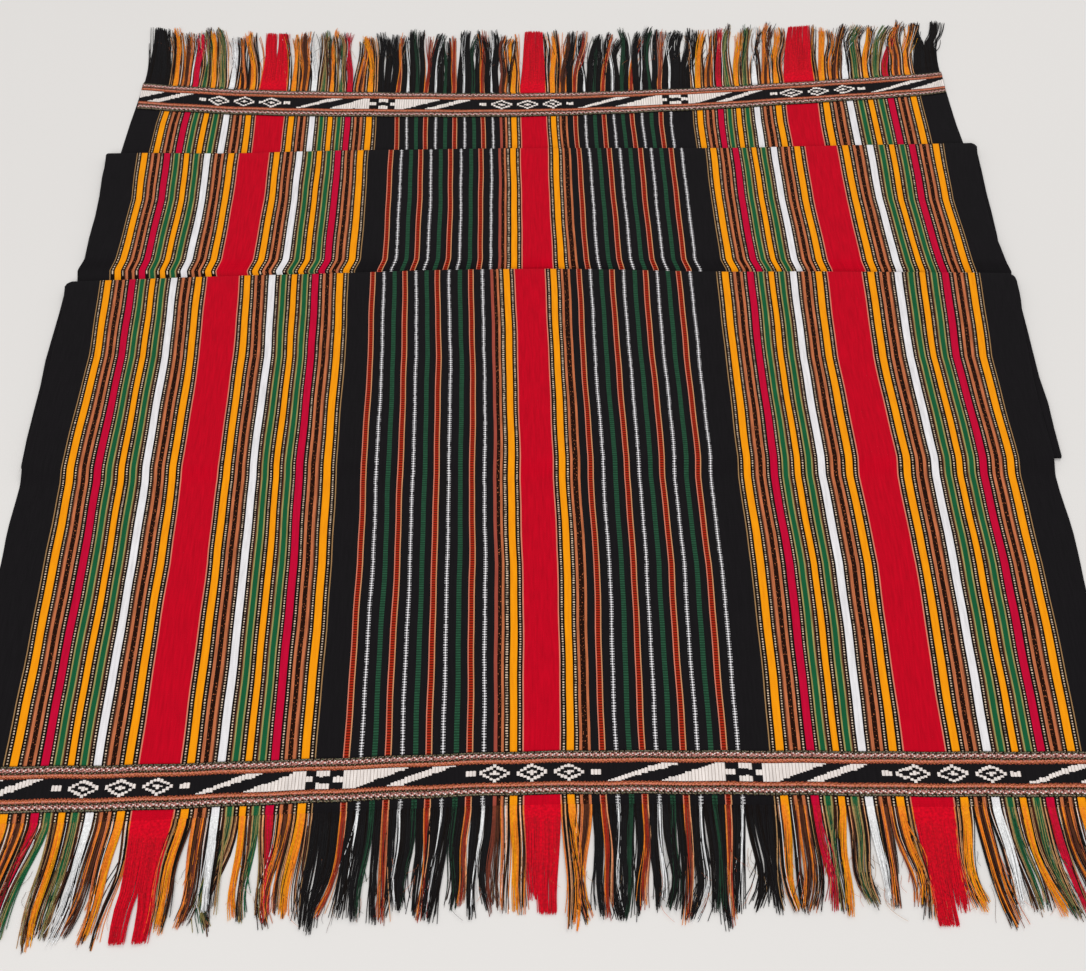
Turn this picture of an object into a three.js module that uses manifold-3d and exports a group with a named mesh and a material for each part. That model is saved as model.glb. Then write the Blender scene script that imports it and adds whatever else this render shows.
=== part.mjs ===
// A hand-woven striped wrapper lying in two flat pleats, with a band and a fringe at each end.
// Millimetres, +Z up, +X to the right, +Y away from the viewer; the floor is at z = 0.

import * as THREE from 'three';
import { mergeVertices } from 'three/addons/utils/BufferGeometryUtils.js';
import Module from 'manifold-3d';

const wasm = await Module();
wasm.setup();

// Cloth
const CLOTH_THICKNESS = 1.6;
const LAYER_STEP = 3.0;
const CLOTH_COLUMNS = 18;
const TURN_FACETS = 4;
const STEP_RUN = { wide: 24, steep: 13 };
const PLEAT_WAVE = 0.9;

// Bands sewn over the cloth, and the gap that parts neighbouring pieces
const PIECE_GAP = 0.3;
const BAND_COLUMNS = 22;
const BAND_OVERHANG = 1.2;

// Fringes
const HEADING_WIDTH = 6;
const HEADING_ROOT = 2.5;
const LOCK_GAP = 0.7;
const LOCK_KNOT_SPACING = 34;
const LOCK_SEGMENTS = 3;
const LOCK_TAPER = 0.17;
const LOCK_HEIGHT = { root: 2.4, tip: 1.3 };
const LOCK_INSET = 5;
const LOCK_BEND = 9;
const LENGTH_SPREAD = 24;
const GROUP_PULL = 20;
const GROUP_DRAW = 0.8;
const NEAR_LEAN = { spread: 24, drift: -3 };
const FAR_LEAN = -3;
const FRINGE_REACH = 578;

// Warp positions, in millimetres from the left selvedge, at which every row below is given:
// both selvedges, the gold stripes beside the black ones, and the middle red stripe.
const WARP_KNOTS = [0, 58, 171, 344, 577, 814, 925, 1094, 1150];

// One row for each line across the cloth, at those warp positions.
const ROWS = {
  nearEnd: {
    x: [-563, -507.5, -398.5, -229.5, -0.5, 231, 341, 511, 565],
    y: [-533, -532, -529.5, -522, -513, -513.5, -515, -515.5, -516],
  },
  frontMiddle: {
    x: [-573, -516, -403.5, -235, -3, 231.5, 344, 517, 568],
    y: [-250, -250, -250, -250, -250, -250, -250, -250, -250],
  },
  pleat1Step: {
    x: [-574.5, -519, -407.5, -239, -6.5, 227, 339.5, 516.5, 565],
    y: [-128, -126.5, -123.5, -119.5, -115, -113.5, -113, -113, -113],
  },
  pleat1NearFold: {
    x: [-578, -523.5, -414, -246, -12, 225.5, 340, 523.5, 576],
    y: [-125, -123.5, -120.5, -116.5, -112, -110.5, -110, -110, -110],
  },
  tier1Middle: {
    x: [-571.5, -518.5, -410, -241.5, -11.5, 223.5, 335, 511.5, 566.5],
    y: [30, 30, 30, 30, 30, 30, 30, 30, 30],
  },
  fold1: {
    x: [-578, -526.5, -417.5, -248.5, -16.5, 223, 336.5, 520.5, 573],
    y: [147, 149.5, 155, 161.5, 168.5, 164, 164, 162, 161],
  },
  tier2Foot: {
    x: [-570, -518, -408, -240, -6, 235.5, 342, 516.5, 572.5],
    y: [149, 151.5, 157, 163.5, 170.5, 166, 166, 164, 163],
  },
  pleat2Step: {
    x: [-562, -514, -404, -235, -6.5, 229, 338, 514.5, 565.5],
    y: [188, 188, 187, 187, 188, 188, 187, 186, 186],
  },
  pleat2NearFold: {
    x: [-563, -514, -402.5, -234.5, -8, 226, 335, 513, 564.5],
    y: [191, 191, 190, 190, 191, 191, 190, 189, 189],
  },
  tier2Middle: {
    x: [-561, -511.5, -403, -236, -9, 225, 334.5, 510.5, 561.5],
    y: [290, 290, 290, 290, 290, 290, 290, 290, 290],
  },
  fold2: {
    x: [-569.5, -518, -405.5, -238.5, -11.5, 223, 333.5, 513.5, 569],
    y: [374, 374.5, 374, 380, 384, 384, 387.5, 392.5, 394],
  },
  tier3Foot: {
    x: [-553, -506, -391.5, -231.5, -10, 213, 319.5, 502, 553],
    y: [376, 376.5, 376, 382, 386, 386, 389.5, 394.5, 396],
  },
  tier3Middle: {
    x: [-550.5, -505.5, -393, -233, -12, 211, 318.5, 501, 551],
    y: [440, 439.5, 438, 436.5, 436, 440, 443, 452.5, 456],
  },
  farEnd: {
    x: [-544, -500.5, -395, -236, -14, 212.5, 320, 499.5, 545.5],
    y: [522, 517, 508.5, 503.5, 501.5, 512.5, 522, 539.5, 546],
  },
};

// Each band: its two long edges at the same warp positions.
const BANDS = {
  near: {
    inner: [-481, -480, -478.5, -472.5, -464, -463.5, -464.5, -464.5, -464],
    outer: [-529, -528, -525.5, -518, -509, -509.5, -511, -511.5, -512],
  },
  far: {
    inner: [468, 464, 456, 452.5, 453, 466, 476, 493.5, 501],
    outer: [520, 515, 506.5, 501.5, 499.5, 510.5, 520, 537.5, 544],
  },
};

// Height of a band over its width: part of the width, height above its underside.
const BAND_PROFILE = [
  { part: 0, height: 1.0 },
  { part: 0.04, height: 1.7 },
  { part: 0.26, height: 1.7 },
  { part: 0.3, height: 1.2 },
  { part: 0.7, height: 1.2 },
  { part: 0.74, height: 1.7 },
  { part: 0.96, height: 1.7 },
  { part: 1, height: 1.0 },
];

// Layers of the pleated section, from the near end to the far end. A run goes from one row to
// another at one level, counted in layers above the floor; a rise climbs from level to level;
// a turn folds the cloth back on itself.
const SECTION = [
  { kind: 'run', from: 'nearEnd', to: 'frontMiddle', level: 0, parts: 4 },
  { kind: 'run', from: 'frontMiddle', to: 'pleat1Step', level: 0, parts: 2, stop: -STEP_RUN.wide },
  { kind: 'rise', at: 'pleat1Step', from: -STEP_RUN.wide, to: 0, low: 0, high: 2, parts: 4 },
  { kind: 'run', from: 'pleat1Step', to: 'tier1Middle', level: 2, parts: 4 },
  { kind: 'run', from: 'tier1Middle', to: 'fold1', level: 2, parts: 4 },
  { kind: 'turn', at: 'fold1', high: 2, low: 1, side: 1 },
  { kind: 'run', from: 'fold1', to: 'pleat1NearFold', level: 1, parts: 5 },
  { kind: 'turn', at: 'pleat1NearFold', high: 1, low: 0, side: -1 },
  { kind: 'run', from: 'pleat1NearFold', to: 'tier2Foot', level: 0, parts: 4 },
  { kind: 'rise', at: 'pleat2Step', from: -STEP_RUN.steep, to: 0, low: 0, high: 2, parts: 4 },
  { kind: 'run', from: 'pleat2Step', to: 'tier2Middle', level: 2, parts: 3 },
  { kind: 'run', from: 'tier2Middle', to: 'fold2', level: 2, parts: 4 },
  { kind: 'turn', at: 'fold2', high: 2, low: 1, side: 1 },
  { kind: 'run', from: 'fold2', to: 'pleat2NearFold', level: 1, parts: 4 },
  { kind: 'turn', at: 'pleat2NearFold', high: 1, low: 0, side: -1 },
  { kind: 'run', from: 'pleat2NearFold', to: 'tier3Foot', level: 0, parts: 4 },
  { kind: 'run', from: 'tier3Foot', to: 'tier3Middle', level: 0, parts: 2 },
  { kind: 'run', from: 'tier3Middle', to: 'farEnd', level: 0, parts: 3 },
];

// Fringe locks by zone of the warp, in millimetres from the left selvedge: how far apart and how
// wide the locks are at the root, and how long they are at the near and far end.
const LOCK_ZONES = [
  { until: 46, pitch: 10.4, width: 6.8, near: 84, far: 88 },
  { until: 180, pitch: 10.0, width: 6.0, near: 84, far: 94 },
  { until: 220, pitch: 10.4, width: 8.4, near: 106, far: 98 },
  { until: 366, pitch: 10.0, width: 6.0, near: 84, far: 98 },
  { until: 392, pitch: 9.8, width: 7.2, near: 78, far: 104 },
  { until: 552, pitch: 10.2, width: 6.2, near: 76, far: 100 },
  { until: 600, pitch: 10.4, width: 8.4, near: 94, far: 104 },
  { until: 760, pitch: 10.2, width: 6.2, near: 77, far: 98 },
  { until: 790, pitch: 9.8, width: 7.2, near: 80, far: 98 },
  { until: 933, pitch: 10.0, width: 6.0, near: 86, far: 94 },
  { until: 973, pitch: 10.4, width: 8.4, near: 106, far: 96 },
  { until: 1107, pitch: 10.0, width: 6.0, near: 88, far: 90 },
  { until: 1150, pitch: 10.4, width: 6.8, near: 84, far: 82 },
];

const COLOURS = {
  cloth: { color: '#c3142a', roughness: 0.92, metalness: 0 },
  band: { color: '#6d4438', roughness: 0.95, metalness: 0 },
  fringe: { color: '#a2541f', roughness: 0.95, metalness: 0 },
};

const clamp = THREE.MathUtils.clamp;
const lerp = THREE.MathUtils.lerp;
const CLOTH_WIDTH = WARP_KNOTS[WARP_KNOTS.length - 1];
const FLOOR_LAYER = CLOTH_THICKNESS / 2;

// A smooth curve through the values of one row, read at a warp position.
function atWarp(values, warp) {
  let i = 0;
  while (i < WARP_KNOTS.length - 2 && warp > WARP_KNOTS[i + 1]) i += 1;
  const slope = (k) => {
    const a = Math.max(k - 1, 0);
    const b = Math.min(k + 1, values.length - 1);
    return (values[b] - values[a]) / (WARP_KNOTS[b] - WARP_KNOTS[a]);
  };
  const span = WARP_KNOTS[i + 1] - WARP_KNOTS[i];
  const t = (warp - WARP_KNOTS[i]) / span;
  const t2 = t * t;
  const t3 = t2 * t;
  return (2 * t3 - 3 * t2 + 1) * values[i] + (t3 - 2 * t2 + t) * span * slope(i)
    + (3 * t2 - 2 * t3) * values[i + 1] + (t3 - t2) * span * slope(i + 1);
}

const rowAt = (name, warp) => ({ x: atWarp(ROWS[name].x, warp), y: atWarp(ROWS[name].y, warp) });
const levelHeight = (level) => FLOOR_LAYER + level * LAYER_STEP;

// Low swells over the pleats; the layers below rise with the top one by their share.
function swell(x, y, z) {
  const share = (z - FLOOR_LAYER) / (2 * LAYER_STEP);
  const wave = 0.5 + 0.28 * Math.sin(x / 83 + y / 61) + 0.22 * Math.sin(x / 37 - y / 95 + 1.3);
  return z + PLEAT_WAVE * wave * clamp(share, 0, 1);
}

// The middle line of the cloth, from the near end to the far end, at one warp position.
function middleLine(warp) {
  const line = [];
  const add = (x, y, z) => line.push(new THREE.Vector3(x, y, swell(x, y, z)));
  for (const piece of SECTION) {
    if (piece.kind === 'run') {
      const a = rowAt(piece.from, warp);
      const b = rowAt(piece.to, warp);
      const end = b.y + (piece.stop ?? 0);
      const first = line.length === 0 ? 0 : 1;
      for (let k = first; k <= piece.parts; k += 1) {
        const t = k / piece.parts;
        add(lerp(a.x, b.x, t), lerp(a.y, end, t), levelHeight(piece.level));
      }
    } else if (piece.kind === 'rise') {
      const r = rowAt(piece.at, warp);
      for (let k = 1; k <= piece.parts; k += 1) {
        const t = k / piece.parts;
        const z = lerp(levelHeight(piece.low), levelHeight(piece.high), THREE.MathUtils.smoothstep(t, 0, 1));
        add(r.x, r.y + lerp(piece.from, piece.to, t), z);
      }
    } else {
      const r = rowAt(piece.at, warp);
      const radius = (levelHeight(piece.high) - levelHeight(piece.low)) / 2;
      const middle = (levelHeight(piece.high) + levelHeight(piece.low)) / 2;
      for (let k = 1; k <= TURN_FACETS; k += 1) {
        const angle = Math.PI * (0.5 - k / TURN_FACETS);
        const out = piece.side * radius * Math.cos(angle);
        add(r.x, r.y + out, middle + radius * Math.sin(angle));
      }
    }
  }
  return line;
}

// A flat slab with a grid of points, each moved to its place. Its points are merged so that the
// slab is one closed skin.
function mouldedSlab(columns, rows, place) {
  const slab = new THREE.BoxGeometry(1, 1, 1, columns, rows, 1);
  slab.deleteAttribute('normal');
  slab.deleteAttribute('uv');
  const position = slab.getAttribute('position');
  for (let i = 0; i < position.count; i += 1) {
    const column = Math.round((position.getX(i) + 0.5) * columns);
    const row = Math.round((position.getY(i) + 0.5) * rows);
    const p = place(column, row, position.getZ(i) > 0);
    position.setXYZ(i, p.x, p.y, p.z);
  }
  return mergeVertices(slab, 1e-4);
}

// The folded cloth: half the thickness to each side of its middle line.
function foldedCloth() {
  const lines = [];
  for (let c = 0; c <= CLOTH_COLUMNS; c += 1) {
    lines.push(middleLine((CLOTH_WIDTH * c) / CLOTH_COLUMNS));
  }
  const last = lines[0].length - 1;
  return mouldedSlab(CLOTH_COLUMNS, last, (column, row, top) => {
    const line = lines[column];
    const before = line[Math.max(row - 1, 0)];
    const after = line[Math.min(row + 1, last)];
    const along = new THREE.Vector2(after.y - before.y, after.z - before.z).normalize();
    const half = top ? CLOTH_THICKNESS / 2 : -CLOTH_THICKNESS / 2;
    const p = line[row];
    return new THREE.Vector3(p.x, p.y - along.y * half, p.z + along.x * half);
  });
}

// A band lying on one layer of cloth, thicker along its two braided borders.
function wovenBand(edges, row) {
  const underside = CLOTH_THICKNESS + PIECE_GAP;
  const low = edges.inner[0] < edges.outer[0] ? edges.inner : edges.outer;
  const high = low === edges.inner ? edges.outer : edges.inner;
  return mouldedSlab(BAND_COLUMNS, BAND_PROFILE.length - 1, (column, index, top) => {
    const warp = (CLOTH_WIDTH * column) / BAND_COLUMNS;
    const side = lerp(-BAND_OVERHANG, BAND_OVERHANG, column / BAND_COLUMNS);
    const { part, height } = BAND_PROFILE[index];
    const y = lerp(atWarp(low, warp), atWarp(high, warp), part);
    return new THREE.Vector3(rowAt(row, warp).x + side, y, underside + (top ? height : 0));
  });
}

const widthAt = (lock, k) => lock.width * (1 - LOCK_TAPER * k);

// A repeatable run of numbers between 0 and 1, so that no two locks are alike.
function scatter(seed) {
  let state = seed;
  return () => {
    state = (state * 1103515245 + 12345) % 2147483648;
    return state / 2147483648;
  };
}

// The locks of one fringe: where each is rooted, how wide and long it is, and its sideways way.
// Neighbouring locks draw together in small groups, and none crosses another.
function layLocks(end, seed) {
  const random = scatter(seed);
  const row = end === 'near' ? 'nearEnd' : 'farEnd';
  const knots = Array.from({ length: LOCK_SEGMENTS + 1 }, (_, k) => k);
  const locks = [];
  let warp = LOCK_INSET;
  let group = { left: 0, middle: 0 };
  while (warp < CLOTH_WIDTH - LOCK_INSET) {
    const zone = LOCK_ZONES.find((z) => warp <= z.until);
    const root = rowAt(row, warp);
    if (group.left === 0) {
      const count = 2 + Math.floor(random() * 3);
      const pull = (random() - 0.5) * GROUP_PULL;
      group = { left: count, middle: root.x + (count - 1) * zone.pitch * 0.5 + pull };
    }
    group.left -= 1;
    const across = (warp / CLOTH_WIDTH) * 2 - 1;
    const lean = end === 'near'
      ? across * Math.abs(across) * NEAR_LEAN.spread + NEAR_LEAN.drift
      : across * FAR_LEAN;
    const bend = (random() - 0.5) * LOCK_BEND;
    const way = knots.map((k) => {
      const t = k / LOCK_SEGMENTS;
      const drawn = lerp(root.x, group.middle, GROUP_DRAW * t * t);
      return drawn + lean * t + bend * Math.sin(Math.PI * t);
    });
    const width = zone.width * (0.85 + 0.3 * random());
    const length = zone[end] + LENGTH_SPREAD * random() * random();
    locks.push({ root, width, length, way });
    warp += zone.pitch * (0.92 + 0.16 * random());
  }
  const apart = (a, b, k) => (widthAt(a, k) + widthAt(b, k)) / 2 + LOCK_GAP;
  for (let i = 1; i < locks.length; i += 1) {
    for (const k of knots) {
      const least = locks[i - 1].way[k] + apart(locks[i - 1], locks[i], k);
      locks[i].way[k] = Math.max(locks[i].way[k], least);
    }
  }
  for (let i = locks.length - 1; i >= 0; i -= 1) {
    for (const k of knots) {
      const most = i === locks.length - 1
        ? FRINGE_REACH - widthAt(locks[i], k) / 2
        : locks[i + 1].way[k] - apart(locks[i], locks[i + 1], k);
      locks[i].way[k] = Math.min(locks[i].way[k], most);
    }
  }
  return locks;
}

// One lock: a three-sided strand, level on the floor, from inside the heading to its tip.
function lockGeometry(lock, out) {
  const section = new THREE.Shape([
    new THREE.Vector2(-0.5, 0), new THREE.Vector2(0.5, 0), new THREE.Vector2(0, 1),
  ]);
  const segments = LOCK_SEGMENTS;
  const settings = { depth: 1, steps: segments, bevelEnabled: false };
  const strand = new THREE.ExtrudeGeometry(section, settings);
  strand.deleteAttribute('normal');
  strand.deleteAttribute('uv');
  const position = strand.getAttribute('position');
  for (let i = 0; i < position.count; i += 1) {
    const k = Math.round(position.getZ(i) * segments);
    const along = k === segments ? lock.length : k * LOCK_KNOT_SPACING;
    const width = widthAt(lock, k);
    const height = lerp(LOCK_HEIGHT.root, LOCK_HEIGHT.tip, k / segments);
    const y = lock.rootY + out * (k === 0 ? -HEADING_ROOT : along);
    const side = out > 0 ? -1 : 1;
    position.setXYZ(i, lock.way[k] + side * position.getX(i) * width, y, position.getY(i) * height);
  }
  return mergeVertices(strand, 1e-4);
}

const toManifold = (geometry) => new wasm.Manifold(new wasm.Mesh({
  numProp: 3,
  vertProperties: new Float32Array(geometry.getAttribute('position').array),
  triVerts: new Uint32Array(geometry.getIndex().array),
}));

// A fringe: a narrow strip of heading along the cloth's edge with the locks fused to it.
function fringe(end, seed) {
  const out = end === 'near' ? -1 : 1;
  const row = end === 'near' ? 'nearEnd' : 'farEnd';
  const heading = mouldedSlab(CLOTH_COLUMNS, 1, (column, index, top) => {
    const warp = (CLOTH_WIDTH * column) / CLOTH_COLUMNS;
    const p = rowAt(row, warp);
    const far = (index === 1) === (out > 0);
    const y = p.y + out * (far ? PIECE_GAP + HEADING_WIDTH : PIECE_GAP);
    return new THREE.Vector3(p.x, y, top ? CLOTH_THICKNESS : 0);
  });
  let body = toManifold(heading);
  for (const lock of layLocks(end, seed)) {
    lock.rootY = lock.root.y + out * (PIECE_GAP + HEADING_WIDTH);
    body = body.add(toManifold(lockGeometry(lock, out)));
  }
  const mesh = body.getMesh();
  const geometry = new THREE.BufferGeometry();
  geometry.setAttribute('position', new THREE.BufferAttribute(mesh.vertProperties, 3));
  geometry.setIndex(new THREE.BufferAttribute(mesh.triVerts, 1));
  return geometry;
}

const part = new THREE.Group();

function addPiece(name, geometry, look) {
  const mesh = new THREE.Mesh(geometry, new THREE.MeshStandardMaterial(look));
  mesh.name = name;
  part.add(mesh);
  return mesh;
}

addPiece('wrapper_cloth', foldedCloth(), COLOURS.cloth);
addPiece('near_band', wovenBand(BANDS.near, 'nearEnd'), COLOURS.band);
addPiece('far_band', wovenBand(BANDS.far, 'farEnd'), COLOURS.band);
addPiece('near_fringe', fringe('near', 11), COLOURS.fringe);
addPiece('far_fringe', fringe('far', 29), COLOURS.fringe);

// The wrapper stands centred over its own origin.
const middle = new THREE.Box3().setFromObject(part).getCenter(new THREE.Vector3());
for (const mesh of part.children) mesh.position.set(-middle.x, -middle.y, 0);

export default part;
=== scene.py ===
"""A hand-woven striped wrapper, laid on a pale floor in two flat pleats."""

import math
import random

import bmesh
import bpy
from mathutils import Matrix, Vector


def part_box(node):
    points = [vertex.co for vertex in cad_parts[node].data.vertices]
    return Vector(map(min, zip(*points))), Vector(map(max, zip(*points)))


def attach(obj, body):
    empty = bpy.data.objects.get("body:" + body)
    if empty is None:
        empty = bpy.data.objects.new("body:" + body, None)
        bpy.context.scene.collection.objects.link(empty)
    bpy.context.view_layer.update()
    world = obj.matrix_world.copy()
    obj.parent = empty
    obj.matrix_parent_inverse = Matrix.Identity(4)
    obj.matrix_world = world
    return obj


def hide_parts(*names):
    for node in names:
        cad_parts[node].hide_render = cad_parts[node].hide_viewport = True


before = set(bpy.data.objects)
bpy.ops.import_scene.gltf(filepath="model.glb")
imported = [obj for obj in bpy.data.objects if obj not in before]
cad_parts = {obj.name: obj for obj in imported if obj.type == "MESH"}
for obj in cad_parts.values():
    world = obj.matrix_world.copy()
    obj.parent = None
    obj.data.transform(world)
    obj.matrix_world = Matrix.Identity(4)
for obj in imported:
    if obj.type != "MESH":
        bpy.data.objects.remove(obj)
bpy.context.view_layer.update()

bl_info = {
    "name": "Striped Wrapper",
    "version": (1, 0, 0),
    "blender": (4, 5, 0),
    "location": "View3D > Sidebar > Wrapper",
    "description": "Builds a folded, hand-woven striped wrapper with bands and fringes",
    "category": "Add Mesh",
}

MM = 0.001

# Warp positions in millimetres from the left selvedge, at which every row below is given:
# both selvedges, the gold stripes beside the black ones, and the middle red stripe.
WARP_KNOTS = (0, 58, 171, 344, 577, 814, 925, 1094, 1150)
CLOTH_WIDTH = WARP_KNOTS[-1]

# One row for each line across the cloth, in millimetres: x and y at those warp positions.
ROWS = {
    "near_end": (
        (-563, -507.5, -398.5, -229.5, -0.5, 231, 341, 511, 565),
        (-533, -532, -529.5, -522, -513, -513.5, -515, -515.5, -516)),
    "front_middle": (
        (-573, -516, -403.5, -235, -3, 231.5, 344, 517, 568),
        (-250, -250, -250, -250, -250, -250, -250, -250, -250)),
    "pleat_1_step": (
        (-574.5, -519, -407.5, -239, -6.5, 227, 339.5, 516.5, 565),
        (-128, -126.5, -123.5, -119.5, -115, -113.5, -113, -113, -113)),
    "pleat_1_near_fold": (
        (-578, -523.5, -414, -246, -12, 225.5, 340, 523.5, 576),
        (-125, -123.5, -120.5, -116.5, -112, -110.5, -110, -110, -110)),
    "tier_1_middle": (
        (-571.5, -518.5, -410, -241.5, -11.5, 223.5, 335, 511.5, 566.5),
        (30, 30, 30, 30, 30, 30, 30, 30, 30)),
    "fold_1": (
        (-578, -526.5, -417.5, -248.5, -16.5, 223, 336.5, 520.5, 573),
        (147, 149.5, 155, 161.5, 168.5, 164, 164, 162, 161)),
    "tier_2_foot": (
        (-566.5, -516.5, -407, -239.5, -5, 234.5, 342, 518, 570),
        (149, 151.5, 157, 163.5, 170.5, 166, 166, 164, 163)),
    "tier_2_bend": (
        (-570.5, -520, -410.5, -242.5, -6, 237, 345, 521, 572),
        (172, 172, 171, 171, 172, 172, 171, 170, 170)),
    "pleat_2_step": (
        (-562, -514, -404, -235, -6.5, 229.5, 339, 516.5, 566),
        (188, 188, 187, 187, 188, 188, 187, 186, 186)),
    "pleat_2_near_fold": (
        (-563, -514, -402.5, -234.5, -8, 226, 335, 513, 564.5),
        (191, 191, 190, 190, 191, 191, 190, 189, 189)),
    "tier_2_middle": (
        (-561, -511.5, -403, -236, -9, 225, 334.5, 510.5, 560.5),
        (290, 290, 290, 290, 290, 290, 290, 290, 290)),
    "fold_2": (
        (-569.5, -518, -405.5, -238.5, -11.5, 223, 333.5, 513.5, 567),
        (374, 374.5, 374, 380, 384, 384, 387.5, 392.5, 394)),
    "tier_3_foot": (
        (-553, -506, -391.5, -231.5, -10, 213, 319.5, 502, 553),
        (376, 376.5, 376, 382, 386, 386, 389.5, 394.5, 396)),
    "tier_3_middle": (
        (-550.5, -505.5, -393, -233, -12, 211, 318.5, 501, 551),
        (440, 439.5, 438, 436.5, 436, 440, 443, 452.5, 456)),
    "far_end": (
        (-544, -500.5, -395, -236, -14, 212.5, 320, 499.5, 545.5),
        (522, 517, 508.5, 503.5, 501.5, 512.5, 522, 539.5, 546)),
}

# The cloth's section from the near end to the far end. Levels count layers above the floor, and
# a run that ends short leaves room for the rise after it.
SECTION = (
    {"kind": "run", "start": "near_end", "end": "front_middle", "level": 0, "parts": 14},
    {"kind": "run", "start": "front_middle", "end": "pleat_1_step", "level": 0, "parts": 6, "short": 24},
    {"kind": "rise", "at": "pleat_1_step", "run": 24, "parts": 6},
    {"kind": "run", "start": "pleat_1_step", "end": "tier_1_middle", "level": 2, "parts": 9},
    {"kind": "run", "start": "tier_1_middle", "end": "fold_1", "level": 2, "parts": 8},
    {"kind": "turn", "at": "fold_1", "high": 2, "low": 1, "side": 1},
    {"kind": "run", "start": "fold_1", "end": "pleat_1_near_fold", "level": 1, "parts": 7},
    {"kind": "turn", "at": "pleat_1_near_fold", "high": 1, "low": 0, "side": -1},
    {"kind": "run", "start": "pleat_1_near_fold", "end": "tier_2_foot", "level": 0, "parts": 7},
    {"kind": "run", "start": "tier_2_foot", "end": "tier_2_bend", "level": 0, "parts": 2},
    {"kind": "rise", "at": "pleat_2_step", "run": 16, "parts": 6},
    {"kind": "run", "start": "pleat_2_step", "end": "tier_2_middle", "level": 2, "parts": 6},
    {"kind": "run", "start": "tier_2_middle", "end": "fold_2", "level": 2, "parts": 7},
    {"kind": "turn", "at": "fold_2", "high": 2, "low": 1, "side": 1},
    {"kind": "run", "start": "fold_2", "end": "pleat_2_near_fold", "level": 1, "parts": 5},
    {"kind": "turn", "at": "pleat_2_near_fold", "high": 1, "low": 0, "side": -1},
    {"kind": "run", "start": "pleat_2_near_fold", "end": "tier_3_foot", "level": 0, "parts": 5},
    {"kind": "run", "start": "tier_3_foot", "end": "tier_3_middle", "level": 0, "parts": 3},
    {"kind": "run", "start": "tier_3_middle", "end": "far_end", "level": 0, "parts": 5},
)
# The folds' rounded corners at the left and right selvedge: breadth and depth in millimetres.
FOLD_CORNERS = {"fold_1": ((8, 8), (10, 13)), "fold_2": ((5, 4), (8, 7))}
# How far the weave goes on beyond the first and the last row, before the yarns come loose.
HEADINGS = {"near": 5.5, "far": 2.5}
LAYER_STEP = 3.0
TURN_FACETS = 6

# Low swells over the pleats: their full height, and each wave's share of it, its length across
# and along the cloth, and its start.
PLEAT_WAVE = 0.9
SWELL_WAVES = ((0.28, 83, 61, 0.0), (0.22, 37, -95, 1.3))

# How the stripes wander sideways: height in millimetres, and its length along and across.
STRIPE_WANDER = ((0.3, 31, 17), (0.45, 74, -43), (0.2, 13, 29))
# How the selvedges wander besides: how far in it shows, then a fine and a coarse wave's height
# and length along the cloth.
SELVEDGE_WANDER = {"breadth": 40, "fine": (0.7, 19), "coarse": (0.9, 47)}

# Soft ridges in the single layers that lie on the floor: how far from the near end, in
# millimetres along the cloth, half its breadth, its height, and how it wanders sideways.
SOFT_RIDGES = (
    {"along": 120, "half": 26, "height": 0.5, "wander": 14},
    {"along": 205, "half": 34, "height": 0.8, "wander": -18},
    {"along": 300, "half": 30, "height": 0.6, "wander": 10},
)
# Lengths across the cloth over which a ridge wanders and swells.
RIDGE_WAVES = {"wander": 150, "swell": 97}

# Stripes across the warp: kind of yarn and width in millimetres.
PICKUP = (("soot", 1.9), ("dots", 1.5), ("soot", 1.9))
PICKUP_BROWN = (("soot", 1.8), ("dots", 1.4), ("soot", 1.3), ("brown", 1.1))
RUST_PAIR = (("rust", 2.9), ("umber", 4.6), ("rust", 2.9))
SIDE_HALF = (
    (("tan", 1.1), ("soot", 1.9), ("dots", 1.5), ("soot", 1.9), ("gold", 7.2))
    + PICKUP_BROWN + RUST_PAIR + PICKUP
    + (("crimson", 7.2),) + PICKUP_BROWN[::-1][1:]
    + (("moss", 1.4), ("green", 4.7), ("moss", 1.5))
    + PICKUP_BROWN[::-1] + (("gold", 5.8),) + PICKUP
    + (("moss", 1.5), ("green", 4.7), ("moss", 1.4))
    + PICKUP_BROWN[::-1] + (("white", 7.2),) + PICKUP_BROWN
    + RUST_PAIR + PICKUP + (("gold", 6.9),) + PICKUP + (("salmon", 1.2),)
)
RUST_LADDER = (("salmon", 1.0), ("red_rungs", 4.4), ("apricot", 1.1))
WHITE_LADDER = (("white_rungs", 1.5), ("white_core", 1.4), ("white_rungs", 1.5))
LADDERS = RUST_LADDER + (("black", 8.3),) + WHITE_LADDER + (("black", 8.3), ("deep_green", 5.0))
LADDER_ZONE = (LADDERS + (("black", 7.2),)) * 3 + RUST_LADDER + (("black", 8.3),) + WHITE_LADDER
CENTRE_LEFT = (
    ("rose", 3.4), ("umber", 3.9), ("rust", 2.5), ("soot", 1.6), ("dots", 2.4), ("soot", 2.1),
    ("gold", 6.9), ("soot", 1.9), ("dots", 1.7), ("soot", 1.8), ("salmon", 1.3),
)
CENTRE_RIGHT = (
    ("salmon", 1.2), ("soot", 2.0), ("dots", 1.7), ("soot", 1.9), ("gold", 6.8), ("soot", 1.8),
    ("dots", 1.9), ("soot", 1.6), ("rust", 2.6), ("umber", 5.6), ("rust", 2.5),
)
# Each zone takes its stripes, scaled to fill the width that the zone has.
ZONES = (
    (46.3, (("black", 1.0),)),
    (309.6, SIDE_HALF + (("red", 37.0),) + SIDE_HALF[::-1]),
    (26.5, (("black", 1.0),)),
    (139.0, LADDER_ZONE),
    (7.5, (("black", 1.0),)),
    (30.2, CENTRE_LEFT),
    (35.8, (("red", 1.0),)),
    (30.4, CENTRE_RIGHT),
    (8.1, (("black", 1.0),)),
    (140.2, LADDER_ZONE),
    (28.6, (("black", 1.0),)),
    (303.0, SIDE_HALF + (("red", 37.0),) + SIDE_HALF[::-1]),
    (44.8, (("black", 1.0),)),
)
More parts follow.
